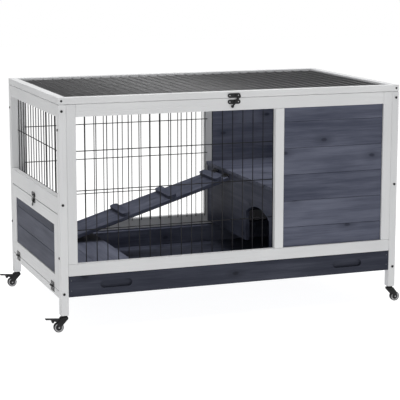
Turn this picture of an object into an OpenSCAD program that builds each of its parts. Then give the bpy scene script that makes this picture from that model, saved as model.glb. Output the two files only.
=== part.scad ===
// Indoor rabbit hutch on four swivel casters: a stick frame with welded mesh and
// tongued planks, a hinged mesh lid, a drop-down end flap and a pull-out tray.
// Millimetres, +Z up, the front faces -Y. The origin is on the floor, at the
// middle of the whole plan with the casters.

/* [Overall size] */
// Width of the lid and carcass, left to right
width = 915; // [780:1:1100]
// Depth of the lid and carcass, front to back
depth = 530; // [460:1:640]
// Height from the floor to the top of the lid
height = 580; // [500:1:700]

/* [Timber] */
// Width of a corner post seen from the front
post_w = 19.5; // [16:0.5:28]
// Depth of a corner post seen from the end
post_d = 21.5; // [16:0.5:32]
// Thickness of the rails and stiles
frame_t = 15; // [12:0.5:18]
// Width of the front and back stiles
stile_w = 24; // [18:1:36]
// Chamfer along the edges of every stick
edge = 1; // [0.5:0.1:2]
// Height of the top rails
top_rail_h = 31; // [24:1:44]
// Height of the front and back lower rails
lower_rail_h = 30; // [24:1:44]
// Thickness of the planks
plank_t = 9; // [7:0.5:11]
// Height of a front, back or right-hand plank
plank_h = 68.5; // [50:0.5:90]
// Depth of the plank face behind the frame face
plank_set = 5; // [3:0.5:6]

/* [Front] */
// Width of the front and back wire windows
window_w = 523; // [440:1:600]
// Height of the tray front
tray_front_h = 52; // [44:1:64]
// Bare leg between the tray front and the caster
leg_clear = 45.5; // [34:0.5:70]

/* [Left end] */
// Height of the rail between the end mesh and the flap
mid_rail_h = 41; // [30:1:60]
// Height of the flap
flap_h = 191; // [150:1:230]
// Height of the fixed rail below the flap
sill_h = 18; // [16:1:26]
// Width of the flap's side stiles
flap_stile_w = 36; // [26:1:50]
// Height of the flap's top rail
flap_top_h = 31; // [26:1:44]
// Height of the flap's bottom rail
flap_bottom_h = 35; // [28:1:48]
// Depth of the flap planks behind its face
flap_set = 2; // [1:0.5:4]

/* [Inside] */
// Height of the deck's top above the floor
deck_z = 323; // [290:1:380]
// Thickness of the deck and divider boards
board_t = 10; // [8:0.5:14]
// Overhang of the deck over the divider
deck_over = 4; // [2:0.5:8]
// Width of the doorway in the divider
door_w = 160; // [120:1:200]
// Height of the doorway's crown above the bottom of the divider
door_h = 104; // [80:1:130]
// Rise of the doorway's arch above its upright sides
arch_rise = 25; // [15:1:40]
// Height of the entry ledge's top above the floor
ledge_z = 150; // [146:0.5:160]
// Width of the entry ledge, from the left end inwards
ledge_w = 191; // [150:1:240]
// Width of the ramp
ramp_w = 135; // [100:1:160]
// Distance from the ramp to the back of the carcass
ramp_back = 62; // [40:1:120]
// Rise of the ramp, in degrees
ramp_angle = 17; // [14:0.1:20]
// Spacing of the ramp cleats along the board
cleat_pitch = 139; // [100:1:170]
// Distance of the top cleat from the head of the ramp
cleat_from_head = 29; // [24:1:60]

/* [Tray] */
// Thickness of the tray's wooden walls
tray_wall = 12; // [9:0.5:15]
// Thickness of the tray's floor
tray_floor_t = 3; // [3:0.5:5]
// Length of a finger recess
recess_l = 82; // [60:1:100]
// Height of a finger recess
recess_h = 19; // [14:1:26]
// Depth of a finger recess
recess_d = 6.5; // [5:0.5:8]
// Distance of each recess from the middle of the tray
recess_x = 316; // [220:1:340]

/* [Lid] */
// Thickness of the lid sticks
lid_t = 16.5; // [14:0.5:22]
// Width of the lid's front and back sticks
lid_long_w = 18; // [14:1:30]
// Width of the lid's side sticks
lid_side_w = 22; // [16:1:30]
// Depth of the lid mesh below the lid's top
lid_mesh_drop = 4; // [2:0.5:8]

/* [Wire mesh] */
// Diameter of the mesh wires
wire_d = 2; // [1.5:0.1:3]
// Spacing of the upright wires
wire_pitch = 27.55; // [20:0.05:34]
// Spacing of the level wires
wire_rise = 98; // [70:1:120]
// Spacing of the level wires in the left end
end_wire_rise = 108; // [80:1:130]

/* [Hinges and latches] */
// Width of a hinge leaf along the pin
leaf_w = 30; // [24:1:40]
// Height of a hinge leaf from its pin
leaf_h = 12; // [10:0.5:14]
// Thickness of a hinge leaf
leaf_t = 1.2; // [1:0.1:1.6]
// Diameter of a hinge pin
pin_d = 2.4; // [2:0.1:3]
// Radial clearance of a turning pin
running = 0.05; // [0.03:0.01:0.08]
// Length of a latch plate
latch_l = 34; // [28:1:44]
// Height of a latch plate
latch_h = 11; // [10:0.5:13]

/* [Casters] */
// Height of a caster from the floor to the leg
caster_h = 42; // [40:1:60]
// Diameter of a caster wheel
wheel_d = 25; // [22:0.5:27]
// Width of a caster wheel
wheel_w = 11; // [9:0.5:13]
// Distance of the axle behind the swivel axis
trail = 15; // [13:0.5:17]
// Reach of the brake lever from the swivel axis
lever_reach = 48; // [42:1:56]

/* [Hidden] */
$fn = 32;

white = [0.86, 0.86, 0.86];
slate = [0.30, 0.32, 0.40];
black = [0.08, 0.08, 0.09];
steel = [0.62, 0.62, 0.64];

// Gap between pieces that move past each other
gap = 0.5;
// Gap round the flap
flap_gap = 1.5;
// Open seam between neighbouring boards
seam = 0.2;
// Overlap of a mesh panel behind its frame
mesh_lap = 6;

// Carcass outline. The left casters reach further out than the right ones, so
// the carcass stands a little to the right of the origin.
wheel_reach = trail + wheel_d / 2;
case_x = (lever_reach - wheel_reach) / 2;
left = case_x - width / 2;
right = case_x + width / 2;
front = -depth / 2;
back = depth / 2;
lid_under = height - lid_t;
case_top = lid_under - gap;
left_in = left + post_w;
right_in = right - post_w;
front_in = front + frame_t;
back_in = back - frame_t;
end_front = front + post_d;
end_back = back - post_d;

// Levels
tray_z = caster_h + leg_clear;
lower_z = tray_z + tray_front_h + gap;
ledge_top = max(ledge_z, lower_z + 8);
open_z = lower_z + lower_rail_h;
open_top = case_top - top_rail_h;

// Front and back frames
window_x = left_in + stile_w;
mid_x = window_x + window_w;
panel_x = mid_x + stile_w;
panel_end = right_in - stile_w;

// Left end
sill_z = tray_z - 5.5;
sill_top = sill_z + sill_h;
flap_z = sill_top + gap * 2;
flap_top = flap_z + flap_h;
mid_rail_z = flap_top + flap_gap;
end_window_z = mid_rail_z + mid_rail_h;

// Divider and deck
divider_x = mid_x + stile_w / 3;
divider_z = lower_z + 9;
door_y = front + 57;

// Ramp: x and z of the lower corner of its foot, and of the hinge at its head
ramp_y = back - ramp_back - ramp_w;
ramp_t = 10;
ramp_foot_z = ledge_top + 0.3;
ramp_gap = 2;
ramp_head_x = divider_x - ramp_gap;
ramp_rise = deck_z - board_t - 18 - ramp_foot_z;
ramp_slope = max(ramp_angle, atan(ramp_rise / (ramp_head_x - left_in - 8)));
ramp_len = ramp_rise / sin(ramp_slope);
ramp_foot_x = ramp_head_x - ramp_len * cos(ramp_slope);
cleat_l = 22;
cleat_t = 9;
first_cleat = ramp_len - cleat_from_head;

// Casters
stem_xl = left + post_w / 2;
stem_xr = right - post_w / 2;
stem_yf = front + post_d / 2;
stem_yb = back - post_d / 2;
stem_r = 4;
stem_in_leg = 22;
collar_r = 8;
collar_t = 2.2;
crown_r = 9;
crown_t = 3;
crown_z = caster_h - collar_t - 0.3 - crown_t;
head_r = 6;
head_t = 1.6;
cheek_t = 1.6;
cheek_y = wheel_w / 2 + 0.8;
axle_r = 2;
brake_x = 11;
brake_z = crown_z - 5.5;
brake_pin_r = 1.2;
brake_t = 2.2;

// Hinges: distance of the pin from the face that the leaves are screwed to
knuckle_r = pin_d / 2 + 1;
pin_out = knuckle_r + 0.3;
lid_hinge_z = case_top + gap / 2;
lid_hinge_x = 300;
flap_hinge_z = sill_top + gap;
flap_hinge_y = 184;
ramp_hinge_z = ramp_foot_z + ramp_rise + (ramp_t + pin_out) / cos(ramp_slope)
    - (pin_out - ramp_gap) * tan(ramp_slope);
ramp_hinge_y = 42;

// Latches: heights of the keepers, and the slant of a hook at rest and when shut
latch_t = 1.6;
latch_drop = 16;
lid_latch_x = case_x - 5;
lid_latch_z = lid_under + 6;
flap_latch_z = mid_rail_z + 9;
hook_t = 1.8;
hook_rest = 36;
hook_shut = 10;
hook_len = latch_drop / cos(hook_shut);
pivot_x = 3.5;
stud_x = pivot_x + latch_drop * tan(hook_shut);
stud_r = 2;

// Flap between the left posts
flap_front = end_front + flap_gap;
flap_back = end_back - flap_gap;

// Tray between the posts
tray_left = left_in + 2 * gap;
tray_right = right_in - 2 * gap;
tray_back = back_in - gap;

// A plain block between two corners
module block(x0, x1, y0, y1, z0, z1) {
    translate([x0, y0, z0]) cube([x1 - x0, y1 - y0, z1 - z0]);
}

// The chamfered section that every stick and plank is cut from
module section(a, b) {
    polygon([[edge, 0], [a - edge, 0], [a, edge], [a, b - edge],
        [a - edge, b], [edge, b], [0, b - edge], [0, edge]]);
}

// Sticks along X, Y and Z between two corners, chamfered along their length
module stick_x(x0, x1, y0, y1, z0, z1) {
    translate([x0, y0, z0]) rotate([90, 0, 90])
        linear_extrude(x1 - x0) section(y1 - y0, z1 - z0);
}

module stick_y(x0, x1, y0, y1, z0, z1) {
    translate([x0, y1, z0]) rotate([90, 0, 0])
        linear_extrude(y1 - y0) section(x1 - x0, z1 - z0);
}

module stick_z(x0, x1, y0, y1, z0, z1) {
    translate([x0, y0, z0]) linear_extrude(z1 - z0) section(x1 - x0, y1 - y0);
}

// Heights of the planks that fill an opening from z0 to z1, counted down from the top
function plank_count(z0, z1, pitch, first) = ceil((z1 - z0 - first) / pitch) + 1;
function plank_top(i, z1, pitch, first) = i == 0 ? z1 : z1 - first - (i - 1) * pitch;
function plank_low(i, z0, z1, pitch, first) = max(z0, z1 - first - i * pitch + seam);

// A wall of level planks in an X-Z opening
module planks_x(x0, x1, y0, y1, z0, z1, pitch, first) {
    for (i = [0 : plank_count(z0, z1, pitch, first) - 1])
        stick_x(x0, x1, y0, y1, plank_low(i, z0, z1, pitch, first),
            plank_top(i, z1, pitch, first));
}

// A wall of level planks in a Y-Z opening
module planks_y(x0, x1, y0, y1, z0, z1, pitch, first) {
    for (i = [0 : plank_count(z0, z1, pitch, first) - 1])
        stick_y(x0, x1, y0, y1, plank_low(i, z0, z1, pitch, first),
            plank_top(i, z1, pitch, first));
}

// A flat welded grid, a by b, with wires at the given spacings and offsets
module grid(a, b, pitch_a, first_a, pitch_b, first_b) {
    for (x = [first_a : pitch_a : a])
        translate([x - wire_d / 2, 0]) square([wire_d, b]);
    for (y = [first_b : pitch_b : b])
        translate([0, y - wire_d / 2]) square([a, wire_d]);
}

// Corner post with the hole for its caster stem
module post(x, y) {
    difference() {
        stick_z(x, x + post_w, y, y + post_d, caster_h, case_top);
        translate([x + post_w / 2, y + post_d / 2, caster_h - 1])
            cylinder(r = stem_r + running, h = stem_in_leg + 2);
    }
}

module post_front_left() {
    color(white) post(left, front);
}

module post_front_right() {
    color(white) post(right_in, front);
}

module post_back_left() {
    color(white) post(left, end_back);
}

module post_back_right() {
    color(white) post(right_in, end_back);
}

module front_top_rail() {
    color(white) stick_x(window_x, panel_end, front, front_in, open_top, case_top);
}

module front_lower_rail() {
    color(white) stick_x(left_in, right_in, front, front_in, lower_z, open_z);
}

module front_side_stiles() {
    color(white) {
        stick_z(left_in, window_x, front, front_in, open_z, case_top);
        stick_z(panel_end, right_in, front, front_in, open_z, case_top);
    }
}

module front_mid_stile() {
    color(white) stick_z(mid_x, panel_x, front, front_in, open_z, open_top);
}

// Wire panel stapled to the inner face of the front or back frame
module long_mesh(y) {
    a = window_w + 2 * mesh_lap;
    b = open_top - open_z + 2 * mesh_lap;
    color(black) translate([window_x - mesh_lap, y, open_z - mesh_lap]) rotate([90, 0, 0])
        linear_extrude(wire_d)
            grid(a, b, wire_pitch, mesh_lap - 1, wire_rise, wire_rise - 12);
}

module front_mesh() {
    long_mesh(front_in + wire_d);
}

module back_mesh() {
    long_mesh(back_in);
}

module front_planks() {
    color(slate) planks_x(panel_x, panel_end, front + plank_set, front + plank_set + plank_t,
        open_z, open_top, plank_h, plank_h / 2 + 2);
}

module back_rails() {
    color(white) {
        stick_x(window_x, panel_end, back_in, back, open_top, case_top);
        stick_x(left_in, right_in, back_in, back, lower_z, open_z);
    }
}

module back_stiles() {
    color(white) {
        stick_z(left_in, window_x, back_in, back, open_z, case_top);
        stick_z(mid_x, panel_x, back_in, back, open_z, open_top);
        stick_z(panel_end, right_in, back_in, back, open_z, case_top);
    }
}

module back_planks() {
    color(slate) planks_x(panel_x, panel_end, back - plank_set - plank_t, back - plank_set,
        open_z, open_top, plank_h, plank_h / 2 + 2);
}

// Skirt board that closes the back below the lower rail
module back_apron() {
    color(slate) stick_x(left_in, right_in, back_in, back_in + plank_t, tray_z, lower_z);
}

module left_top_rail() {
    color(white) stick_y(left, left + frame_t, end_front, end_back, open_top, case_top);
}

module left_mid_rail() {
    color(white) stick_y(left, left + frame_t, end_front, end_back, mid_rail_z, end_window_z);
}

module left_sill_rail() {
    color(white) stick_y(left, left + frame_t, end_front, end_back, sill_z, sill_top);
}

module left_mesh() {
    a = end_back - end_front;
    b = open_top - end_window_z + 2 * mesh_lap;
    color(black) translate([left + frame_t, end_front, end_window_z - mesh_lap])
        rotate([90, 0, 90]) linear_extrude(wire_d)
            grid(a, b, wire_pitch, a / 2 - 8 * wire_pitch, end_wire_rise, mesh_lap / 2);
}

module right_rails() {
    color(white) {
        stick_y(right - frame_t, right, end_front, end_back, open_top, case_top);
        stick_y(right - frame_t, right, end_front, end_back, sill_z, sill_top);
    }
}

module right_planks() {
    color(slate) planks_y(right - plank_set - plank_t, right - plank_set, end_front, end_back,
        sill_top, open_top, plank_h, plank_h / 2 + 2);
}

// Three boards side by side make the deck
module deck_boards() {
    board = (back_in - front_in) / 3;
    color(slate) for (i = [0 : 2])
        stick_x(divider_x - deck_over, right_in, front_in + i * board,
            front_in + (i + 1) * board - seam, deck_z - board_t, deck_z);
}

module deck_battens() {
    batten = 15;
    z = deck_z - board_t;
    color(slate) {
        stick_x(divider_x + board_t, right_in, front_in, front_in + batten, z - batten, z);
        stick_x(divider_x + board_t, right_in, back_in - batten, back_in, z - batten, z);
    }
}

// Wall under the deck, with an arched doorway near the front
module divider() {
    arch_r = (pow(door_w / 2, 2) + pow(arch_rise, 2)) / (2 * arch_rise);
    color(slate) difference() {
        block(divider_x, divider_x + board_t, front_in, back_in, divider_z,
            deck_z - board_t);
        intersection() {
            block(divider_x - 1, divider_x + board_t + 1, door_y, door_y + door_w,
                divider_z - 1, divider_z + door_h + 1);
            translate([divider_x - 2, door_y + door_w / 2, divider_z + door_h - arch_r])
                rotate([0, 90, 0]) cylinder(r = arch_r, h = board_t + 4);
        }
    }
}

// Low board inside the flap, where the ramp's foot stands
module entry_ledge() {
    t = ledge_top - lower_z - 1;
    board = ledge_w / 2;
    color(slate) for (i = [0 : 1])
        stick_y(left_in + i * board, left_in + (i + 1) * board - seam, front_in, back_in,
            ledge_top - t, ledge_top);
}

// Battens on the end rails that the tray slides on
module tray_runners() {
    runner_set = 90;
    runner_w = 20;
    runner_h = 12;
    z = tray_z - gap;
    color(white) {
        stick_y(left + frame_t, left + frame_t + runner_w, front + runner_set, end_back,
            z - runner_h, z);
        stick_y(right - frame_t - runner_w, right - frame_t, front + runner_set, end_back,
            z - runner_h, z);
    }
}

// A domed bolt head with a hexagon socket, pointing along +Z
module bolt_head() {
    r = 3.2;
    h = 2;
    difference() {
        union() {
            cylinder(r = r, h = h * 0.6);
            translate([0, 0, h * 0.6]) cylinder(r1 = r, r2 = r * 0.6, h = h * 0.4);
        }
        translate([0, 0, h * 0.5]) cylinder(r = 1.3, h = h, $fn = 6);
    }
}

// The heads that stand on the posts, front, back and ends
module frame_bolts() {
    inset = 8;
    levels = [case_top - 16, case_top - 245, tray_z + 8.5];
    end_levels = [case_top - 62, tray_z + 97.5];
    color(black) {
        for (x = [left + inset, right - inset], z = levels) {
            translate([x, front, z]) rotate([90, 0, 0]) bolt_head();
            translate([x, back, z]) rotate([-90, 0, 0]) bolt_head();
        }
        for (y = [stem_yf, stem_yb], z = end_levels) {
            translate([left, y, z]) rotate([0, -90, 0]) bolt_head();
            translate([right, y, z]) rotate([0, 90, 0]) bolt_head();
        }
    }
}

// Threaded stem in a leg, with the collar above the fork and the head below it
module caster_stem(x, y) {
    translate([x, y, 0]) {
        translate([0, 0, crown_z - 0.3 - head_t]) cylinder(r = head_r, h = head_t);
        translate([0, 0, crown_z - 0.4])
            cylinder(r = stem_r, h = caster_h + stem_in_leg - crown_z + 0.4);
        translate([0, 0, caster_h - collar_t]) cylinder(r = collar_r, h = collar_t);
    }
}

module caster_stems() {
    color(steel) for (x = [stem_xl, stem_xr], y = [stem_yf, stem_yb])
        caster_stem(x, y);
}

// One cheek of a fork in its own X-Z plane, from the crown down to the axle
module cheek_outline(ear) {
    r = wheel_d / 2;
    difference() {
        union() {
            polygon([[-7.5, crown_z - 4], [-7.5, crown_z + 1.5], [7.5, crown_z + 1.5],
                [trail + 5, r], [trail, r - 5], [trail - 5, r]]);
            translate([trail, r]) circle(r = 5);
            if (ear) translate([brake_x, brake_z]) circle(r = 3.4);
        }
        if (ear) translate([brake_x, brake_z]) circle(r = brake_pin_r + running);
    }
}

// Fork with its riveted axle, trailing along +X from the swivel axis
module fork(x, y, turn, ear) {
    color(black) translate([x, y, 0]) rotate([0, 0, turn]) {
        difference() {
            union() {
                translate([0, 0, crown_z]) rotate_extrude()
                    polygon([[0, 0], [crown_r, 0], [crown_r, 1.2],
                        [crown_r - 1.6, crown_t], [0, crown_t]]);
                for (side = [-1, 1])
                    translate([0, side * (cheek_y + cheek_t / 2) + cheek_t / 2, 0])
                        rotate([90, 0, 0]) linear_extrude(cheek_t) cheek_outline(ear);
            }
            translate([0, 0, crown_z - 1]) cylinder(r = stem_r + running, h = crown_t + 2);
        }
    }
    color(steel) translate([x, y, 0]) rotate([0, 0, turn])
        translate([trail, 0, wheel_d / 2]) rotate([90, 0, 0]) {
            cylinder(r = axle_r, h = 2 * cheek_y, center = true);
            for (side = [-1, 1]) translate([0, 0, side * (cheek_y + cheek_t + 0.5)])
                cylinder(r = 3.2, h = 1, center = true);
        }
}

// Wheel with a shouldered tread and dished sides
module wheel(x, y, turn) {
    r = wheel_d / 2;
    w = wheel_w / 2;
    color(black) translate([x, y, 0]) rotate([0, 0, turn])
        translate([trail, 0, r]) rotate([90, 0, 0]) rotate_extrude()
            polygon([[axle_r + running, -w], [4.5, -w], [5.5, -w + 1], [8.5, -w + 1],
                [9.5, -w], [r - 1.2, -w], [r, -w + 1.2], [r, w - 1.2], [r - 1.2, w],
                [9.5, w], [8.5, w - 1], [5.5, w - 1], [4.5, w], [axle_r + running, w]]);
}

// Brake lever: a moulded body over the wheel with a stepped cross pin, a heel
// above the tread and a foot plate. Pressed down by its slope, the heel stops just
// above the tread.
module brake(x, y, turn) {
    slope = 5;
    half = cheek_y - 0.4;
    end = cheek_y + cheek_t + 0.3;
    barrel_r = brake_pin_r + 1.5;
    reach = (lever_reach - brake_x) / cos(slope);
    heel = brake_z - wheel_d - gap;
    skirt_x = trail - brake_x + wheel_d / 2 + 2;
    color(black) translate([x, y, 0]) rotate([0, 0, turn])
        translate([brake_x, 0, brake_z]) {
            rotate([90, 0, 0]) rotate_extrude()
                polygon([[0, -end], [brake_pin_r, -end], [brake_pin_r, -half],
                    [barrel_r, -half], [barrel_r, half], [brake_pin_r, half],
                    [brake_pin_r, end], [0, end]]);
            rotate([0, -slope, 0]) translate([0, half - 0.4, 0]) rotate([90, 0, 0])
                linear_extrude(2 * half - 0.8)
                    polygon([[0.5, 0], [0.5, brake_t], [reach, brake_t], [reach, 0],
                        [skirt_x + 5, 0], [skirt_x + 1, -8], [skirt_x - 1, -8],
                        [skirt_x - 4, -3.5], [8, -heel], [4, -heel]]);
        }
}

// Hinge leaf in the X-Z plane, standing up from a pin along X, with its fixing face
// at y = 0 and the pin at y = -pin_out. A moving leaf has the middle knuckle and
// turns on the pin; a fixed leaf has the outer two and grips it.
module leaf(middle) {
    third = leaf_w / 3;
    slack = 0.2;
    starts = middle ? [-third / 2 + slack] : [-leaf_w / 2, third / 2 + slack];
    lengths = middle ? third - 2 * slack : third - slack;
    difference() {
        union() {
            block(-leaf_w / 2, leaf_w / 2, -leaf_t, 0, knuckle_r + 0.4, leaf_h);
            for (s = starts) {
                block(s, s + lengths, -leaf_t, 0, -0.2, knuckle_r + 0.5);
                translate([s, -pin_out, 0]) rotate([0, 90, 0])
                    cylinder(r = knuckle_r, h = lengths);
                block(s, s + lengths, -pin_out, -leaf_t + 0.1, -0.2, knuckle_r - 0.2);
            }
        }
        translate([-leaf_w / 2 - 1, -pin_out, 0]) rotate([0, 90, 0])
            cylinder(r = pin_d / 2 + (middle ? running : 0), h = leaf_w + 2);
        for (s = [-1, 1]) translate([s * leaf_w / 3, 1, (leaf_h + knuckle_r) / 2])
            rotate([90, 0, 0]) cylinder(r = 1.4, h = leaf_t + 2);
    }
}

module pin() {
    translate([-leaf_w / 2 - 0.6, -pin_out, 0]) rotate([0, 90, 0])
        cylinder(r = pin_d / 2, h = leaf_w + 1.2);
}

// Places of the hinges: the lid's on the back, the flap's on the left end and
// the ramp's on the divider
module at_lid_hinges() {
    for (x = [case_x - lid_hinge_x, case_x + lid_hinge_x])
        translate([x, back, lid_hinge_z]) rotate([0, 0, 180]) children();
}

module at_flap_hinges() {
    for (y = [-flap_hinge_y, flap_hinge_y])
        translate([left, y, flap_hinge_z]) rotate([0, 0, -90]) children();
}

module at_ramp_hinges() {
    for (y = [-ramp_hinge_y, ramp_hinge_y])
        translate([divider_x, ramp_y + ramp_w / 2 + y, ramp_hinge_z])
            rotate([0, 0, -90]) children();
}

module fixed_hinge_leaves() {
    color(black) {
        at_lid_hinges() mirror([0, 0, 1]) leaf(false);
        at_flap_hinges() mirror([0, 0, 1]) leaf(false);
        at_ramp_hinges() mirror([0, 0, 1]) leaf(false);
    }
}

module hinge_pins() {
    color(steel) {
        at_lid_hinges() pin();
        at_flap_hinges() pin();
        at_ramp_hinges() pin();
    }
}

module lid_hinge_leaves() {
    color(black) at_lid_hinges() leaf(true);
}

module flap_hinge_leaves() {
    color(black) at_flap_hinges() leaf(true);
}

// The moving leaf lies on the ramp's top face, folded down from the pin
module ramp_hinge_leaves() {
    color(black) at_ramp_hinges() translate([0, -pin_out, 0])
        rotate([ramp_slope - 90, 0, 0]) translate([0, pin_out, 0])
            mirror([0, 0, 1]) leaf(true);
}

module lid_long_rails() {
    color(white) {
        stick_x(left, right, front, front + lid_long_w, lid_under, height);
        stick_x(left, right, back - lid_long_w, back, lid_under, height);
    }
}

module lid_side_rails() {
    y0 = front + lid_long_w;
    y1 = back - lid_long_w;
    color(white) {
        stick_y(left, left + lid_side_w, y0, y1, lid_under, height);
        stick_y(right - lid_side_w, right, y0, y1, lid_under, height);
    }
}

// Lid mesh, let in between the lid sticks, with one level wire in four
module lid_mesh() {
    a = width - 2 * lid_side_w;
    b = depth - 2 * lid_long_w;
    color(black) translate([left + lid_side_w, front + lid_long_w,
            height - lid_mesh_drop - wire_d])
        linear_extrude(wire_d) grid(a, b, wire_pitch, wire_pitch / 2, wire_rise / 2, 2);
}

// Latch plate with round ends, standing out along -Y from the X-Z plane
module latch_plate() {
    r = latch_h / 2;
    rotate([90, 0, 0]) linear_extrude(latch_t) difference() {
        union() {
            square([latch_l - latch_h, latch_h], center = true);
            for (s = [-1, 1]) translate([s * (latch_l / 2 - r), 0]) circle(r = r);
        }
        for (s = [-1, 1]) translate([s * (latch_l / 2 - r), 0]) circle(r = 1.5);
    }
}

// A stud with a head, standing on a latch plate through the hook's plane
module stud(x) {
    foot = latch_t + hook_t + 0.8;
    translate([x, 0, 0]) rotate([90, 0, 0]) rotate_extrude()
        polygon([[0, 0.5], [stud_r, 0.5], [stud_r, foot], [stud_r + 0.8, foot],
            [stud_r + 0.8, foot + 1], [0, foot + 1]]);
}

// Plate with the stud that the hook closes over
module keeper() {
    latch_plate();
    stud(stud_x);
}

// Plate with the hook's pivot, latch_drop below the keeper
module latch_base() {
    latch_plate();
    stud(pivot_x);
}

// Straight hook on its pivot, at rest beside the keeper, with a thumb tail below.
// Turned back to hook_shut, its slot closes over the keeper's stud.
module latch_hook() {
    tail = 14;
    ring_r = stud_r + 2.2;
    slot = stud_r + 0.5;
    translate([pivot_x, -latch_t - 0.4, 0]) rotate([90, 0, 0])
        linear_extrude(hook_t) rotate(-hook_rest) difference() {
            union() {
                circle(r = ring_r);
                translate([-2.5, 0]) square([5, hook_len]);
                translate([0, hook_len]) circle(r = ring_r);
                translate([-2, -tail]) square([4, tail]);
                translate([0, -tail]) circle(r = 3.6);
            }
            circle(r = stud_r + running);
            translate([0, hook_len]) circle(r = slot);
            translate([-6, hook_len - slot - 0.6]) square([6, 2 * slot + 0.6]);
        }
}

// The lid's latch is on the front, the flap's on the left end
module at_lid_latch(z) {
    translate([lid_latch_x, front, z]) children();
}

module at_flap_latch(z) {
    translate([left, 0, z]) rotate([0, 0, -90]) children();
}

module lid_latch_keeper() {
    color(black) at_lid_latch(lid_latch_z) keeper();
}

module lid_latch_base() {
    color(black) at_lid_latch(lid_latch_z - latch_drop) latch_base();
}

module lid_latch_hook() {
    color(black) at_lid_latch(lid_latch_z - latch_drop) latch_hook();
}

module flap_latch_keeper() {
    color(black) at_flap_latch(flap_latch_z) keeper();
}

module flap_latch_base() {
    color(black) at_flap_latch(flap_latch_z - latch_drop) latch_base();
}

module flap_latch_hook() {
    color(black) at_flap_latch(flap_latch_z - latch_drop) latch_hook();
}

module flap_rails() {
    y0 = flap_front + flap_stile_w;
    y1 = flap_back - flap_stile_w;
    color(white) {
        stick_y(left, left + frame_t, y0, y1, flap_z, flap_z + flap_bottom_h);
        stick_y(left, left + frame_t, y0, y1, flap_top - flap_top_h, flap_top);
    }
}

module flap_stiles() {
    color(white) {
        stick_z(left, left + frame_t, flap_front, flap_front + flap_stile_w,
            flap_z, flap_top);
        stick_z(left, left + frame_t, flap_back - flap_stile_w, flap_back,
            flap_z, flap_top);
    }
}

module flap_planks() {
    z0 = flap_z + flap_bottom_h;
    z1 = flap_top - flap_top_h;
    pitch = (z1 - z0) * 0.41;
    color(slate) planks_y(left + flap_set, left + flap_set + plank_t,
        flap_front + flap_stile_w, flap_back - flap_stile_w, z0, z1, pitch,
        z1 - z0 - 2 * pitch);
}

// Ramp frame: x along the slope from the foot, z out of its top face
module on_ramp() {
    translate([ramp_foot_x, ramp_y, ramp_foot_z]) rotate([0, -ramp_slope, 0]) children();
}

module ramp_board() {
    color(slate) on_ramp() stick_x(0, ramp_len, 0, ramp_w, 0, ramp_t);
}

module ramp_cleats() {
    color(slate) on_ramp() for (i = [0 : 2])
        translate([first_cleat - cleat_pitch * i - cleat_l / 2, 0, ramp_t]) {
            block(0, cleat_l, cleat_l / 2, ramp_w - cleat_l / 2, 0, cleat_t);
            for (y = [cleat_l / 2, ramp_w - cleat_l / 2])
                translate([cleat_l / 2, y, 0]) cylinder(r = cleat_l / 2, h = cleat_t);
        }
}

// Stadium-shaped blind recess for the fingers
module recess(x) {
    r = recess_h / 2;
    translate([x, front - 1, tray_z + tray_front_h / 2 + 1]) rotate([-90, 0, 0]) {
        translate([-(recess_l / 2 - r), -r, 0]) cube([recess_l - 2 * r, recess_h, recess_d + 1]);
        for (s = [-1, 1]) translate([s * (recess_l / 2 - r), 0, 0])
            cylinder(r = r, h = recess_d + 1);
    }
}

module tray_front() {
    color(slate) difference() {
        stick_x(tray_left, tray_right, front, front + tray_wall, tray_z,
            tray_z + tray_front_h);
        for (s = [-1, 1]) recess(case_x + s * recess_x);
    }
}

// Two side walls and a back wall between them, standing on the floor
module tray_walls() {
    z0 = tray_z + tray_floor_t;
    z1 = tray_z + tray_front_h - 2;
    y0 = front + tray_wall;
    color(slate) {
        stick_y(tray_left, tray_left + tray_wall, y0, tray_back, z0, z1);
        stick_y(tray_right - tray_wall, tray_right, y0, tray_back, z0, z1);
        stick_x(tray_left + tray_wall + seam, tray_right - tray_wall - seam,
            tray_back - tray_wall, tray_back, z0, z1);
    }
}

module tray_floor() {
    color(slate) block(tray_left, tray_right, front + tray_wall, tray_back, tray_z,
        tray_z + tray_floor_t);
}

module fork_front_left() {
    fork(stem_xl, stem_yf, 180, true);
}

module wheel_front_left() {
    wheel(stem_xl, stem_yf, 180);
}

module brake_front_left() {
    brake(stem_xl, stem_yf, 180);
}

module fork_back_left() {
    fork(stem_xl, stem_yb, 180, true);
}

module wheel_back_left() {
    wheel(stem_xl, stem_yb, 180);
}

module brake_back_left() {
    brake(stem_xl, stem_yb, 180);
}

module fork_front_right() {
    fork(stem_xr, stem_yf, 0, false);
}

module wheel_front_right() {
    wheel(stem_xr, stem_yf, 0);
}

module fork_back_right() {
    fork(stem_xr, stem_yb, 0, false);
}

module wheel_back_right() {
    wheel(stem_xr, stem_yb, 0);
}

post_front_left();
post_front_right();
post_back_left();
post_back_right();
front_top_rail();
front_lower_rail();
front_side_stiles();
front_mid_stile();
front_mesh();
front_planks();
back_rails();
back_stiles();
back_mesh();
back_planks();
back_apron();
left_top_rail();
left_mid_rail();
left_sill_rail();
left_mesh();
right_rails();
right_planks();
deck_boards();
deck_battens();
divider();
entry_ledge();
tray_runners();
frame_bolts();
caster_stems();
fixed_hinge_leaves();
hinge_pins();
lid_long_rails();
lid_side_rails();
lid_mesh();
lid_hinge_leaves();
lid_latch_keeper();
lid_latch_base();
lid_latch_hook();
flap_rails();
flap_stiles();
flap_planks();
flap_hinge_leaves();
flap_latch_keeper();
flap_latch_base();
flap_latch_hook();
ramp_board();
ramp_cleats();
ramp_hinge_leaves();
tray_front();
tray_walls();
tray_floor();
fork_front_left();
wheel_front_left();
brake_front_left();
fork_back_left();
wheel_back_left();
brake_back_left();
fork_front_right();
wheel_front_right();
fork_back_right();
wheel_back_right();
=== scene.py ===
import math

import bmesh
import bpy
from mathutils import Matrix, Vector


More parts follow.
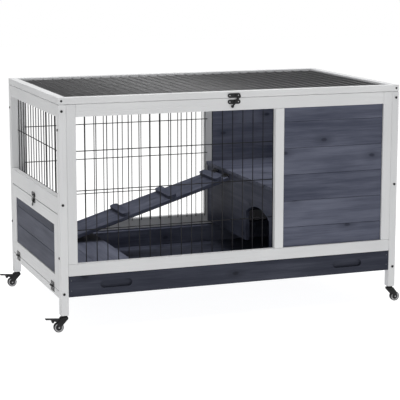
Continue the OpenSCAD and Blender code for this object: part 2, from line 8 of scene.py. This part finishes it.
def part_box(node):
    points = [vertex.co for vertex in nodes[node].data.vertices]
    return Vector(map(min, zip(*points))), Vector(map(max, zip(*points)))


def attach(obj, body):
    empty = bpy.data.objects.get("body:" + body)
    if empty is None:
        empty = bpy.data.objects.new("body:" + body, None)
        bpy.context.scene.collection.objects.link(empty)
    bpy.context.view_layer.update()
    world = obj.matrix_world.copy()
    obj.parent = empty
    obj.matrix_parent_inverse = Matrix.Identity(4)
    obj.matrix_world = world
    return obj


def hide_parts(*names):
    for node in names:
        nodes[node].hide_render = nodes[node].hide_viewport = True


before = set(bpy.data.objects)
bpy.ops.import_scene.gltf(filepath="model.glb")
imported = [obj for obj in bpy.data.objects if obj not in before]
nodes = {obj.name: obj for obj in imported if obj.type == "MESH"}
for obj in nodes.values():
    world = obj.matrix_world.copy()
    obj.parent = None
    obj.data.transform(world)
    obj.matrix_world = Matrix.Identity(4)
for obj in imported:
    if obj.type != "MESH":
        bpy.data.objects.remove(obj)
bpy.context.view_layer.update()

# ---------------------------------------------------------------- the view
# The camera stands to the left of the hutch's front and a little above it, far
# enough back for a long lens. Its frame is shifted down to take in the casters.
camera_data = bpy.data.cameras.new("camera")
camera_data.lens = 130.5
camera_data.sensor_width = 36
camera_data.shift_x = 0.0022
camera_data.shift_y = -0.0323
camera_data.clip_end = 60
camera = bpy.data.objects.new("camera", camera_data)
camera.location = (-1.3207, -3.622, 0.959)
turn, dip = math.radians(20.17), math.radians(9.78)
looking = Vector((math.sin(turn) * math.cos(dip), math.cos(turn) * math.cos(dip),
                  -math.sin(dip)))
camera.rotation_euler = looking.to_track_quat("-Z", "Y").to_euler()
bpy.context.scene.collection.objects.link(camera)
bpy.context.scene.camera = camera
bpy.context.scene.view_settings.view_transform = "Standard"


# ------------------------------------------------------------ studio floor
# A wide flat sheet of pale board under the hutch. It is not part of the object.
class Value:
    """One socket of a finish. Sums and products written with it add Math nodes."""

    def __init__(self, finish, socket):
        self.finish = finish
        self.socket = socket

    def maths(self, operation, *values):
        return self.finish.add("ShaderNodeMath", {"operation": operation}, dict(enumerate(values)))

    def __add__(self, other):
        return self.maths("ADD", self, other)

    __radd__ = __add__

    def __rsub__(self, other):
        return self.maths("SUBTRACT", other, self)

    def __mul__(self, other):
        return self.maths("MULTIPLY", self, other)

    __rmul__ = __mul__

    def __truediv__(self, other):
        return self.maths("DIVIDE", self, other)

    def between(self, low, high):
        """0 below low and 1 above high, with a smooth rise."""
        return self.finish.add("ShaderNodeMapRange", {"interpolation_type": "SMOOTHSTEP"},
                               {"Value": self, "From Min": low, "From Max": high})


class Finish:
    """A paint, stain or metal whose colour and relief come from places on the object."""

    def __init__(self, name, **sockets):
        self.material = bpy.data.materials.new(name)
        self.material.use_nodes = True
        self.tree = self.material.node_tree
        self.tree.nodes.clear()
        self.surface = self.tree.nodes.new("ShaderNodeBsdfPrincipled")
        output = self.tree.nodes.new("ShaderNodeOutputMaterial")
        self.tree.links.new(self.surface.outputs[0], output.inputs[0])
        self.place = self.add("ShaderNodeTexCoord", out="Object")
        self.wear(**sockets)

    def add(self, kind, settings=(), inputs=(), out=0):
        node = self.tree.nodes.new(kind)
        for name, value in dict(settings).items():
            setattr(node, name, value)
        for name, value in dict(inputs).items():
            self.plug(node.inputs[name], value)
        return Value(self, node.outputs[out])

    def plug(self, socket, value):
        if isinstance(value, Value):
            self.tree.links.new(value.socket, socket)
        elif isinstance(value, tuple) and len(socket.default_value) == 4:
            socket.default_value = (*value[:3], 1)
        else:
            socket.default_value = value

    def wear(self, **sockets):
        """Sets the surface's own sockets, such as Base_Color or Roughness."""
        for name, value in sockets.items():
            self.plug(self.surface.inputs[name.replace("_", " ")], value)
        return self

    def noise(self, scale, detail=3.0, at=None, rough=0.5):
        return self.add("ShaderNodeTexNoise", {},
                        {"Vector": at or self.place, "Scale": scale, "Detail": detail,
                         "Roughness": rough})

    def board(self):
        """A board's own number, and a shift that gives it its own stretch of grain."""
        own = self.add("ShaderNodeAttribute", {"attribute_name": "board"}, out="Fac")
        shift = self.add("ShaderNodeCombineXYZ", {}, {0: own * 3.1, 1: own * 5.3, 2: own * 7.7})
        return own, shift

    def stretched(self, axis, ratio, shift):
        """The place on the object, drawn out along one axis by ratio and shifted."""
        scale = tuple(1 / ratio if i == axis else 1.0 for i in range(3))
        place = self.add("ShaderNodeMapping", {}, {"Vector": self.place, "Scale": scale})
        return self.add("ShaderNodeVectorMath", {"operation": "ADD"},
                        {0: place, 1: shift}, "Vector")

    def mix(self, share, first, second):
        node = self.tree.nodes.new("ShaderNodeMix")
        node.data_type = "RGBA"
        self.plug(node.inputs["Factor"], share)
        self.plug(node.inputs[6], first)
        self.plug(node.inputs[7], second)
        return Value(self, node.outputs[2])

    def relief(self, height, depth):
        """Raises the surface by height, where 1 stands for depth in metres."""
        bump = {"Height": height, "Distance": depth, "Strength": 1.0}
        return self.wear(Normal=self.add("ShaderNodeBump", {}, bump))


FLOOR_HALF = 9
board = bmesh.new()
bmesh.ops.create_grid(board, x_segments=1, y_segments=1, size=FLOOR_HALF)
floor_mesh = bpy.data.meshes.new("floor")
board.to_mesh(floor_mesh)
board.free()
floor = bpy.data.objects.new("floor", floor_mesh)
bpy.context.scene.collection.objects.link(floor)
pale = Finish("pale_board", Base_Color=(0.3, 0.3, 0.3), Roughness=0.9, Specular_IOR_Level=0.1,
              Emission_Color=(1.0, 1.0, 1.0), Emission_Strength=0.93)
floor_mesh.materials.append(pale.material)

# ------------------------------------------------------------------- light
# An even white room, a broad soft panel overhead and two weak ones low in front.
# The camera sees the room as plain white, though it gives only ROOM's light.
ROOM = 0.25
LIT_AT = Vector((0, 0, 0.3))
world = bpy.data.worlds.new("room")
world.use_nodes = True
room = world.node_tree
background = room.nodes["Background"]
background.inputs["Color"].default_value = (1, 1, 1, 1)
bpy.context.scene.world = world
ray = room.nodes.new("ShaderNodeLightPath")
strength = room.nodes.new("ShaderNodeMath")
strength.operation = "MAXIMUM"
strength.inputs[1].default_value = ROOM
room.links.new(ray.outputs["Is Camera Ray"], strength.inputs[0])
room.links.new(strength.outputs[0], background.inputs["Strength"])
for name, place, size, watts in (
        ("overhead", (0.1, 0.1, 2.7), 2.4, 70),
        ("front_left", (-1.7, -3.3, 0.75), 1.8, 15),
        ("front_right", (2.2, -2.8, 0.8), 1.4, 7)):
    lamp_data = bpy.data.lights.new(name, "AREA")
    lamp_data.size = size
    lamp_data.energy = watts
    lamp = bpy.data.objects.new(name, lamp_data)
    lamp.location = place
    lamp.rotation_euler = (LIT_AT - Vector(place)).to_track_quat("-Z", "Y").to_euler()
    bpy.context.scene.collection.objects.link(lamp)


# ------------------------------------------------------------ corner posts
# Four square softwood posts, planed, arrised and sprayed with white paint. Rails
# butt between them, and a caster stem goes up into each foot.
ARRIS = 0.0013
SAME_PLACE = 0.00001


def sticks_of(node):
    """The lowest and highest corner of each separate stick of a CAD node."""
    copy = bmesh.new()
    copy.from_mesh(nodes[node].data)
    bmesh.ops.remove_doubles(copy, verts=copy.verts, dist=SAME_PLACE)
    seen, boxes = set(), []
    for start in copy.verts:
        if start in seen:
            continue
        seen.add(start)
        waiting, stick = [start], []
        while waiting:
            corner = waiting.pop()
            stick.append(corner.co.copy())
            for edge in corner.link_edges:
                other = edge.other_vert(corner)
                if other not in seen:
                    seen.add(other)
                    waiting.append(other)
        boxes.append((Vector(map(min, *stick)), Vector(map(max, *stick))))
    copy.free()
    return sorted(boxes, key=lambda box: tuple(box[0]))


def add_stick(wood, low, high, turned=None):
    """Adds a stick with rounded arrises between two corners to a bmesh."""
    made = bmesh.ops.create_cube(wood, size=1)["verts"]
    placed = Matrix.Translation((low + high) / 2) @ Matrix.Diagonal((*(high - low), 1))
    bmesh.ops.transform(wood, matrix=placed, verts=made)
    edges = list({edge for vert in made for edge in vert.link_edges})
    rounded = bmesh.ops.bevel(wood, geom=edges, affect="EDGES", offset=ARRIS, segments=2,
                              profile=0.5, material=-1, clamp_overlap=True)
    if turned is not None:
        faces = set(rounded["faces"])
        faces |= {face for vert in made if vert.is_valid for face in vert.link_faces}
        verts = {vert for face in faces for vert in face.verts}
        bmesh.ops.transform(wood, matrix=turned, verts=list(verts))


def finish_piece(mesh_maker, name, finish, body, slot, *replaced):
    """Turns a bmesh into a piece of the hutch that rides on its body."""
    mesh = bpy.data.meshes.new(name)
    mesh_maker.to_mesh(mesh)
    mesh_maker.free()
    mesh.materials.append(finish.material)
    piece = bpy.data.objects.new(name, mesh)
    bpy.context.scene.collection.objects.link(piece)
    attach(piece, body)
    if replaced:
        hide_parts(*replaced)
    return piece


def planed(node, paints, body="carcass", slot="white_paint"):
    """Builds a CAD node's sticks again, each with its grain along its length."""
    groups = {}
    for index, (low, high) in enumerate(sticks_of(node)):
        size = high - low
        longest = max(range(3), key=lambda axis: size[axis])
        groups.setdefault(longest, []).append((index, low, high))
    for axis, sticks in sorted(groups.items()):
        wood = bmesh.new()
        tone = wood.verts.layers.float.new("board")
        for index, low, high in sticks:
            before = set(wood.verts)
            add_stick(wood, low, high)
            for vert in set(wood.verts) - before:
                vert[tone] = (index * 0.37 + len(node) * 0.13) % 1
        name = node + "_wood" if len(groups) == 1 else node + "_wood_" + "xyz"[axis]
        finish_piece(wood, name, paints[axis], body, slot, node)


def white_paint(axis):
    """White paint over softwood: a soft sheen, and grain that shows as fine ridges."""
    paint = Finish("white_paint_" + "xyz"[axis], Specular_IOR_Level=0.35)
    own, shift = paint.board()
    grain = paint.noise(230, 4, paint.stretched(axis, 22, shift))
    cloud = paint.noise(5, 2)
    tone = (grain * 0.35 + cloud * 0.65 + own * 0.25).between(0.25, 0.95)
    paint.wear(Base_Color=paint.mix(tone, (0.62, 0.625, 0.635), (0.71, 0.715, 0.72)),
               Roughness=0.42 + grain * 0.16)
    return paint.relief(grain.between(0.35, 0.75), 0.0003)


white_paints = [white_paint(axis) for axis in range(3)]
for corner in ("front_left", "front_right", "back_left", "back_right"):
    planed("post_" + corner, white_paints)

# --------------------------------------------------- rails, stiles and runners
# Planed white sticks between the posts. Stiles stand on the lower rails and the
# top rails run over them. Their arrises leave a fine line where two meet.
for node in ("front_top_rail", "front_lower_rail", "front_side_stiles", "front_mid_stile",
             "back_rails", "back_stiles", "left_top_rail", "left_mid_rail", "left_sill_rail",
             "right_rails", "tray_runners"):
    planed(node, white_paints)

# ------------------------------------------------------------- wire panels
# Welded mesh of black coated wire, behind the front, back and left frames. Upright
# wires lie against the frame, with level wires welded across their inner faces.
WIRE_R = 0.0012
PITCH = 0.02755
FIRST_UPRIGHT = 0.005
LEVEL_HEIGHTS = (0.250, 0.348, 0.446)
LEFT_LEVELS_UP = (0.003, 0.111)
LEFT_EACH_WAY = 8
wire_coat = Finish("black_wire", Base_Color=(0.010, 0.010, 0.012), Specular_IOR_Level=0.3)
wire_coat.wear(Roughness=0.4 + 0.2 * wire_coat.noise(400))


def add_wire(cage, start, end, radius=WIRE_R):
    """Adds a straight round wire between two points to a bmesh."""
    along = end - start
    turned = along.to_track_quat("Z", "Y").to_matrix().to_4x4()
    made = bmesh.ops.create_cone(cage, cap_ends=True, segments=8, radius1=radius,
                                 radius2=radius, depth=along.length,
                                 matrix=Matrix.Translation((start + end) / 2) @ turned)["verts"]
    for face in {face for vert in made for face in vert.link_faces}:
        face.smooth = len(face.verts) == 4


for node, inward in (("front_mesh", 1), ("back_mesh", -1)):
    low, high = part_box(node)
    outer = low.y if inward > 0 else high.y
    uprights, levels = outer + inward * WIRE_R, outer + inward * 3 * WIRE_R
    cage = bmesh.new()
    x = low.x + FIRST_UPRIGHT
    while x < high.x:
        add_wire(cage, Vector((x, uprights, low.z)), Vector((x, uprights, high.z)))
        x += PITCH
    for z in LEVEL_HEIGHTS:
        add_wire(cage, Vector((low.x, levels, z)), Vector((high.x, levels, z)))
    finish_piece(cage, node + "_wires", wire_coat, "carcass", "wire", node)

low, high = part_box("left_mesh")
uprights, levels = low.x + WIRE_R, low.x + 3 * WIRE_R
middle = (low.y + high.y) / 2
cage = bmesh.new()
for step in range(-LEFT_EACH_WAY, LEFT_EACH_WAY + 1):
    y = middle + step * PITCH
    add_wire(cage, Vector((uprights, y, low.z)), Vector((uprights, y, high.z)))
for up in LEFT_LEVELS_UP:
    z = low.z + up
    add_wire(cage, Vector((levels, low.y, z)), Vector((levels, high.y, z)))
finish_piece(cage, "left_mesh_wires", wire_coat, "carcass", "wire", "left_mesh")


# -------------------------------------------------------- blue-grey boards
# Softwood boards with a thin blue-grey stain. The grain shows through as darker
# streaks along each board, and every board takes the stain a little differently.
def slate_stain(axis, name="slate_stain", depth=1.0):
    """Stain whose grain runs along an axis. A depth below 1 darkens the stain and one above 1
    lightens it: a real deeper coat on the tray front, and elsewhere painted shade and painted
    light.
    """
    stain = Finish(name + "_" + "xyz"[axis], Specular_IOR_Level=0.12)
    own, shift = stain.board()
    figure = stain.noise(52, 5, stain.stretched(axis, 13, shift), 0.62)
    fibre = stain.noise(420, 3, stain.stretched(axis, 30, shift))
    cloud = stain.noise(9, 3, stain.stretched(axis, 2, shift))
    # Knots are laid out flat along each board. They take more stain, and the grain
    # around them is darker too.
    sides = [stain.add("ShaderNodeSeparateXYZ", {}, {0: stain.place}, out=side)
             for side in range(3)]
    across = [side for index, side in enumerate(sides) if index != axis]
    flat = stain.add("ShaderNodeCombineXYZ", {},
                     {0: sides[axis] / 1.8 + own * 5.1 + figure * 0.01,
                      1: across[0] + across[1] + own * 2.3})
    knot = stain.add("ShaderNodeTexVoronoi", {"voronoi_dimensions": "2D"},
                     {"Vector": flat, "Scale": 8.5, "Randomness": 1.0}, "Distance")
    halo = 0.4 * (1 - knot.between(0.02, 0.19)) + 0.5 * (1 - knot.between(0.02, 0.055))
    tone = (figure * 0.62 + fibre * 0.2 + cloud * 0.42 + own * 0.16).between(0.44, 1.0)
    # depth scales both tones: a deeper coat on the tray front, painted shade on the flap, painted
    # light on the back planks and tray walls.
    dark = tuple(depth * part for part in (0.046, 0.052, 0.080))
    light = tuple(depth * part for part in (0.140, 0.150, 0.200))
    knot_dark = tuple(part * 0.55 for part in dark)
    stain.wear(Base_Color=stain.mix(halo, stain.mix(tone, dark, light), knot_dark),
               Roughness=0.5 + 0.2 * fibre)
    return stain.relief(figure * 0.4 + fibre * 0.6, 0.0006)


def coat(finish, *names):
    """Gives a finish to CAD pieces that keep their own shape."""
    for name in names:
        nodes[name].data.materials.clear()
        nodes[name].data.materials.append(finish.material)


slate_stains = [slate_stain(axis) for axis in range(3)]
# The back planks take a lighter copy of the stain: painted light on the back wall, which stands in
# shade inside the hutch.
lit_back_stains = [slate_stain(axis, "back_painted_light_stain", 1.25) for axis in range(3)]
planed("back_planks", lit_back_stains, slot="slate_stain")
for node in ("front_planks", "back_apron", "right_planks", "deck_boards",
             "deck_battens", "entry_ledge"):
    planed(node, slate_stains, slot="slate_stain")

# Divider under the deck: one wide board with an arched doorway sawn through it.
coat(slate_stains[1], "divider")

# --------------------------------------------------------------------- lid
# A frame of white sticks, the long ones front and back, with a mesh set in
# below its top. The mesh has wires front to back and closer ones across them. Its grey is a
# painted sheen of the overhead light on black wire.
LID_WIRE_R = 0.0009
LID_LEVEL_PITCH = 0.0122
FIRST_LEVEL = 0.002
LET_IN = 0.004
planed("lid_long_rails", white_paints, "lid")
planed("lid_side_rails", white_paints, "lid")
low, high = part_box("lid_mesh")
cage = bmesh.new()
top = high.z - WIRE_R
under = top - 2 * LID_WIRE_R
x = low.x + PITCH / 2
while x < high.x:
    add_wire(cage, Vector((x, low.y - LET_IN, top)), Vector((x, high.y + LET_IN, top)),
             LID_WIRE_R)
    x += PITCH
y = low.y + FIRST_LEVEL
while y < high.y:
    add_wire(cage, Vector((low.x - LET_IN, y, under)), Vector((high.x + LET_IN, y, under)),
             LID_WIRE_R)
    y += LID_LEVEL_PITCH
# The grey base colour is a painted sheen: overhead light glinting on the black coated wire.
lid_wire_sheen = Finish("lid_wire_painted_sheen", Base_Color=(0.10, 0.10, 0.103), Specular_IOR_Level=0.9)
lid_wire_sheen.wear(Roughness=0.24 + 0.14 * lid_wire_sheen.noise(400))
finish_piece(cage, "lid_mesh_wires", lid_wire_sheen, "lid", "wire", "lid_mesh")

# Two dark bolt heads hold the lid's front corners, as on the posts below.
BOLT_IN = 0.0078
BOLT_OUT = 0.00055
BOLT_R, BOLT_TOP_R, BOLT_T = 0.0030, 0.0021, 0.0013
bolt_heads = bmesh.new()
low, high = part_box("lid_long_rails")
for x in (low.x + BOLT_IN, high.x - BOLT_IN):
    placed = Matrix.Translation((x, low.y - BOLT_OUT, (low.z + high.z) / 2))
    bmesh.ops.create_cone(bolt_heads, cap_ends=True, segments=24, radius1=BOLT_R,
                          radius2=BOLT_TOP_R, depth=BOLT_T,
                          matrix=placed @ Matrix.Rotation(math.pi / 2, 4, "X"))
bmesh.ops.bevel(bolt_heads, geom=list(bolt_heads.edges), affect="EDGES", offset=0.0002,
                segments=1, profile=0.5, material=-1)
enamel = Finish("black_enamel", Base_Color=(0.008, 0.008, 0.009), Specular_IOR_Level=0.35)
enamel.wear(Roughness=0.34 + 0.15 * enamel.noise(300))
enamel.relief(enamel.noise(900, 2), 0.00008)
finish_piece(bolt_heads, "lid_corner_bolts", enamel, "lid", "hardware")

# -------------------------------------------------------------------- flap
# A drop-down door in the left end: two white stiles and two rails round three
# blue-grey planks, whose stain is darkened as painted shade on the left end.
planed("flap_rails", white_paints, "flap")
planed("flap_stiles", white_paints, "flap")
# A darker copy of the stain: painted shade on the planks of the left end.
flap_shaded_stains = [slate_stain(axis, "flap_painted_shade_stain", 0.76) for axis in range(3)]
planed("flap_planks", flap_shaded_stains, "flap", "slate_stain")

# -------------------------------------------------------------------- ramp
# One stained board on the slope, with three round-ended cleats across it for
# grip. Its grain runs up the slope.
SLOPE = math.radians(17)
BOARD_T = 0.010
low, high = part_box("ramp_board")
toe = BOARD_T * math.sin(SLOPE)
ramp_length = (high.x - low.x - toe) / math.cos(SLOPE)
foot = Matrix.Translation((low.x + toe, low.y, low.z)) @ Matrix.Rotation(-SLOPE, 4, "Y")
wood = bmesh.new()
add_stick(wood, Vector((0, 0, 0)), Vector((ramp_length, high.y - low.y, BOARD_T)), foot)
finish_piece(wood, "ramp_plank", slate_stains[0], "ramp", "slate_stain", "ramp_board")
coat(slate_stains[1], "ramp_cleats")

# -------------------------------------------------------------------- tray
# A shallow stained tray that slides out at the front, with two finger recesses cut
# into its front board. The front has a deep coat. The walls and floor take a lighter copy of the
# stain, painted light in the shaded tray.
tray_stain = slate_stain(0, "tray_stain", 0.5)
# The walls and floor take a lighter copy of the stain: painted light inside the tray, which stands
# in shade.
tray_lit_stains = [slate_stain(axis, "tray_inner_painted_light_stain", 1.35) for axis in range(2)]
coat(tray_stain, "tray_front")
coat(tray_lit_stains[0], "tray_floor")
planed("tray_walls", tray_lit_stains, "tray", "slate_stain")

# ------------------------------------------------- hinges, latches and bolts
# Pressed steel leaves, latch plates and bolt heads in black enamel, as are the
# caster stems, with bright plated hinge pins.
bright = Finish("bright_plate", Base_Color=(0.55, 0.55, 0.57), Metallic=1.0)
bright.wear(Roughness=0.26 + 0.2 * bright.noise(250))
bright.relief(bright.noise(700, 2), 0.00004)
coat(enamel, "frame_bolts", "fixed_hinge_leaves", "lid_hinge_leaves", "flap_hinge_leaves",
     "ramp_hinge_leaves", "lid_latch_keeper", "lid_latch_base", "lid_latch_hook",
     "flap_latch_keeper", "flap_latch_base", "flap_latch_hook", "caster_stems")
coat(bright, "hinge_pins")

# ------------------------------------------------------------------- screws
# Bright domed screws in both holes of every latch plate, and duller ones, one
# above the other, at each end of the tray's front board.
LATCH_SCREW_R, TRAY_SCREW_R = 0.0016, 0.0013
LATCH_SCREW_IN, LATCH_SCREW_SUNK = 0.0055, 0.0012
TRAY_SCREW_IN, TRAY_SCREW_DOWN, TRAY_SCREW_UP = 0.006, 0.0105, 0.0158
TO_FRONT, TO_LEFT = Vector((0, -1, 0)), Vector((-1, 0, 0))


def add_screw(heads, place, facing, radius):
    """Adds the low plain dome of a screw head to a bmesh."""
    turned = facing.to_track_quat("Z", "Y").to_matrix().to_4x4()
    flattened = Matrix.Diagonal((1, 1, 0.45, 1))
    made = bmesh.ops.create_uvsphere(heads, u_segments=16, v_segments=8, radius=radius,
                                     matrix=Matrix.Translation(place) @ turned @ flattened)
    for face in {face for vert in made["verts"] for face in vert.link_faces}:
        face.smooth = True


for body, latch, facing in (("carcass", "lid_latch_base", TO_FRONT),
                            ("lid", "lid_latch_keeper", TO_FRONT),
                            ("carcass", "flap_latch_base", TO_LEFT),
                            ("flap", "flap_latch_keeper", TO_LEFT)):
    low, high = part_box(latch)
    z = ((low + high) / 2).z
    if facing is TO_FRONT:
        y = high.y - LATCH_SCREW_SUNK
        places = [(x, y, z) for x in (low.x + LATCH_SCREW_IN, high.x - LATCH_SCREW_IN)]
    else:
        x = high.x - LATCH_SCREW_SUNK
        places = [(x, y, z) for y in (low.y + LATCH_SCREW_IN, high.y - LATCH_SCREW_IN)]
    heads = bmesh.new()
    for place in places:
        add_screw(heads, Vector(place), facing, LATCH_SCREW_R)
    finish_piece(heads, "screws_" + latch, bright, body, "hardware")

heads = bmesh.new()
low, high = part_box("tray_front")
for x in (low.x + TRAY_SCREW_IN, high.x - TRAY_SCREW_IN):
    for z in (high.z - TRAY_SCREW_DOWN, low.z + TRAY_SCREW_UP):
        add_screw(heads, Vector((x, low.y, z)), TO_FRONT, TRAY_SCREW_R)
dull = Finish("dull_zinc", Base_Color=(0.16, 0.165, 0.18), Metallic=1.0)
dull.wear(Roughness=0.45 + 0.2 * dull.noise(300))
finish_piece(heads, "tray_front_screws", dull, "tray", "hardware")

# ------------------------------------------------------------------ casters
# Small black swivel casters: a moulded fork with a domed crown, and a wheel with a
# black tyre, a pale grey rim and grey axle caps. The left ones have a brake lever.
TRAIL = 0.015
WHEEL_R = 0.0125
CHEEK_IN, CHEEK_OUT = 0.0063, 0.0079
CROWN_R, CROWN_EDGE = 0.009, 0.003
CAP_R, CAP_TOP_R, CAP_T, CAP_OUT = 0.0023, 0.0016, 0.0008, 0.0002
# The crown's radius at each drop from its top.
CROWN = ((0.0, 0.0), (0.0042, 0.0), (0.0066, 0.0004), (0.0082, 0.0014), (CROWN_R, 0.003),
         (CROWN_R, 0.0056), (0.0, 0.0056))
# A cheek's outline, first from the crown's edge and then round the axle.
CHEEK_TOP = ((-0.0084, -0.0035), (-0.0082, 0.0012), (0.0082, 0.0012), (0.0150, -0.0075))
CHEEK_FOOT = ((0.0045, 0.0085), (0.0028, 0.0015), (0.0016, -0.0024), (-0.0010, -0.0030),
              (-0.0030, -0.0012))
# The radius of each wheel part at each distance across the wheel.
TYRE = ((0.0108, -0.0049), (0.0116, -0.0055), (0.0122, -0.0050), (0.0125, -0.0040),
        (0.0125, 0.0040), (0.0122, 0.0050), (0.0116, 0.0055), (0.0108, 0.0049),
        (0.0108, -0.0049))
RIM = ((0.0076, -0.0046), (0.0090, -0.0052), (0.0107, -0.0050), (0.0107, 0.0050),
       (0.0090, 0.0052), (0.0076, 0.0046), (0.0076, -0.0046))
DISC = ((0.0021, -0.0055), (0.0034, -0.0055), (0.0046, -0.0040), (0.0075, -0.0040),
        (0.0075, 0.0040), (0.0046, 0.0040), (0.0034, 0.0055), (0.0021, 0.0055),
        (0.0021, -0.0055))
nylon = Finish("black_nylon", Base_Color=(0.007, 0.007, 0.008), Specular_IOR_Level=0.3)
nylon.wear(Roughness=0.38 + 0.15 * nylon.noise(200))
nylon.relief(nylon.noise(800, 2), 0.00008)
rubber = Finish("grey_rubber", Specular_IOR_Level=0.3)
rubber.wear(Base_Color=rubber.mix(rubber.noise(160, 4), (0.30, 0.30, 0.31), (0.50, 0.50, 0.51)),
            Roughness=0.62 + 0.2 * rubber.noise(240))
rubber.relief(rubber.noise(600, 3), 0.0001)
cap_grey = Finish("grey_cap", Base_Color=(0.34, 0.34, 0.35), Specular_IOR_Level=0.5)
cap_grey.wear(Roughness=0.3 + 0.2 * cap_grey.noise(300))


def lathe(shape, outline, centre, axis):
    """Spins an outline of (radius, height) pairs round an axis through a centre."""
    across = Vector((0, 0, 1)) if axis.z < 0.5 else Vector((1, 0, 0))
    first = [shape.verts.new(centre + across * radius + axis * height)
             for radius, height in outline]
    edges = [shape.edges.new(pair) for pair in zip(first, first[1:])]
    bmesh.ops.spin(shape, geom=first + edges, cent=centre, axis=axis, angle=math.tau,
                   steps=40, use_merge=True, use_duplicate=False)
    bmesh.ops.remove_doubles(shape, verts=shape.verts, dist=SAME_PLACE)


def plate(shape, outline, near, far):
    """Adds a flat plate with an outline of (x, z) pairs between two y values."""
    face = shape.faces.new([shape.verts.new((x, near, z)) for x, z in outline])
    pushed = bmesh.ops.extrude_face_region(shape, geom=[face])["geom"]
    verts = [item for item in pushed if isinstance(item, bmesh.types.BMVert)]
    bmesh.ops.translate(shape, vec=(0, far - near, 0), verts=verts)
    faces = {other for vert in verts for other in vert.link_faces} | {face}
    edges = list({edge for item in faces for edge in item.edges})
    bmesh.ops.bevel(shape, geom=edges, affect="EDGES", offset=0.0004, segments=2,
                    profile=0.5, material=-1, clamp_overlap=True)


def settle(shape, matrix):
    """Closes a shape, turns its faces outwards and moves it to its place."""
    bmesh.ops.remove_doubles(shape, verts=shape.verts, dist=SAME_PLACE / 2)
    bmesh.ops.recalc_face_normals(shape, faces=shape.faces)
    for face in shape.faces:
        face.smooth = True
    bmesh.ops.transform(shape, matrix=matrix, verts=shape.verts)


for corner in ("front_left", "back_left", "front_right", "back_right"):
    left_side = corner.endswith("left")
    fork_node, wheel_node = "fork_" + corner, "wheel_" + corner
    low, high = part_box(fork_node)
    stem_y = (low.y + high.y) / 2
    stem_x = high.x - CROWN_R if left_side else low.x + CROWN_R
    turned = Matrix.Rotation(math.pi if left_side else 0, 4, "Z")
    place = Matrix.Translation((stem_x, stem_y, 0)) @ turned
    fork = bmesh.new()
    lathe(fork, [(radius, high.z - drop) for radius, drop in CROWN],
          Vector((0, 0, 0)), Vector((0, 0, 1)))
    crown_z = high.z - CROWN_EDGE
    cheek = [(x, crown_z + rise) for x, rise in CHEEK_TOP]
    cheek += [(TRAIL + x, WHEEL_R + rise) for x, rise in CHEEK_FOOT]
    for near, far in ((-CHEEK_OUT, -CHEEK_IN), (CHEEK_IN, CHEEK_OUT)):
        plate(fork, cheek, near, far)
    settle(fork, place)
    finish_piece(fork, "fork_moulding_" + corner, nylon, fork_node, "caster_fork", fork_node)

    for name, outline, finish, slot in (("tyre_", TYRE, nylon, "tyre"),
                                        ("wheel_rim_", RIM, rubber, "tyre"),
                                        ("wheel_disc_", DISC, nylon, "caster_plastic")):
        shape = bmesh.new()
        lathe(shape, outline, Vector((TRAIL, 0, WHEEL_R)), Vector((0, 1, 0)))
        settle(shape, place)
        finish_piece(shape, name + corner, finish, wheel_node, slot, wheel_node)
    caps = bmesh.new()
    for side in (-1, 1):
        placed = Matrix.Translation((TRAIL, side * (CHEEK_OUT + CAP_OUT), WHEEL_R))
        bmesh.ops.create_cone(caps, cap_ends=True, segments=24, radius1=CAP_R,
                              radius2=CAP_TOP_R, depth=CAP_T,
                              matrix=placed @ Matrix.Rotation(-side * math.pi / 2, 4, "X"))
    settle(caps, place)
    for face in caps.faces:
        face.smooth = False
    finish_piece(caps, "axle_caps_" + corner, cap_grey, fork_node, "steel")
    if left_side:
        coat(nylon, "brake_" + corner)
